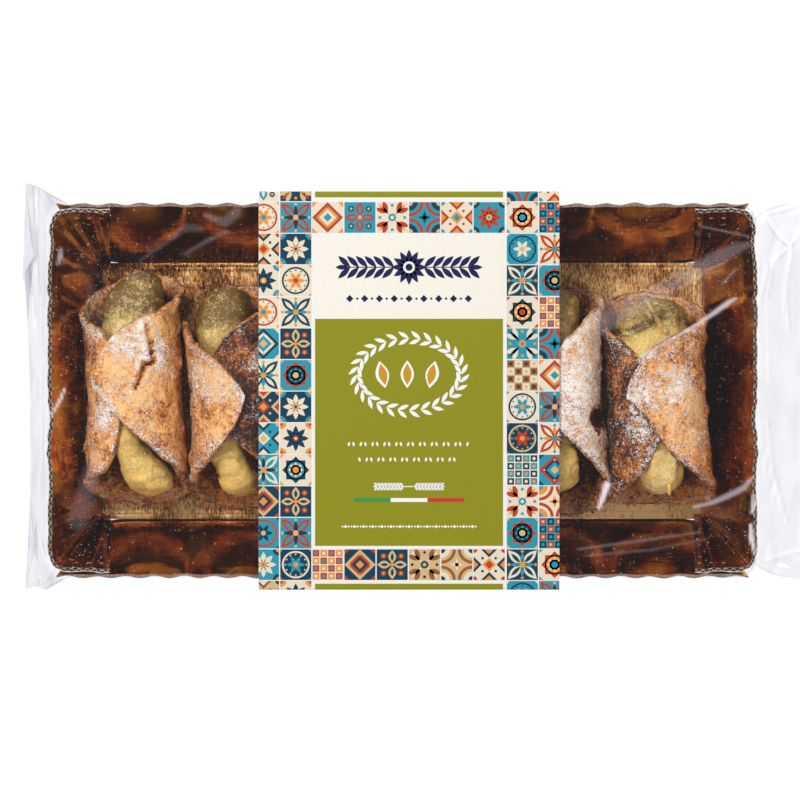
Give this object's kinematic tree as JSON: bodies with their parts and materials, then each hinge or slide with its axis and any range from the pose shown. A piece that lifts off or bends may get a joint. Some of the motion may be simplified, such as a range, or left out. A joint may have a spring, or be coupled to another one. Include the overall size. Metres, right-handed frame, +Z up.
{
  "type": "packaged cannoli",
  "caption": "Long tapered tray of filled pastry rolls in a clear film bag with sealed end fins, held by a flat printed card sleeve round its middle.",
  "frame": {"origin": "centre of the tray, on the plane of the sleeve's lower panel, which the pack rests on", "axes": "+X along the tray's length towards the longer end fin, +Y across the tray along the rolls, +Z up out of the tray"},
  "size_m": [0.27, 0.14, 0.04],
  "materials": {
    "clear_film": "clear glossy film over browned pastry and a gold-foil tray; the colour is that of what shows through it",
    "printed_card": "smooth coated card, printed in olive green and ivory with a border of patterned tiles",
    "foil_board": "gold foil laminated on board, embossed floor, mirror-like walls, pale cut edges",
    "fried_pastry": "blistered fried pastry dusted with icing sugar",
    "pistachio_cream": "smooth pistachio cream with a soft sheen and a dusting of sugar",
    "icing_sugar": "fine white icing sugar and crumbs"
  },
  "bodies": {
    "root": {"bag": "clear_film", "sleeve": "printed_card"}
  },
  "joints": []
}
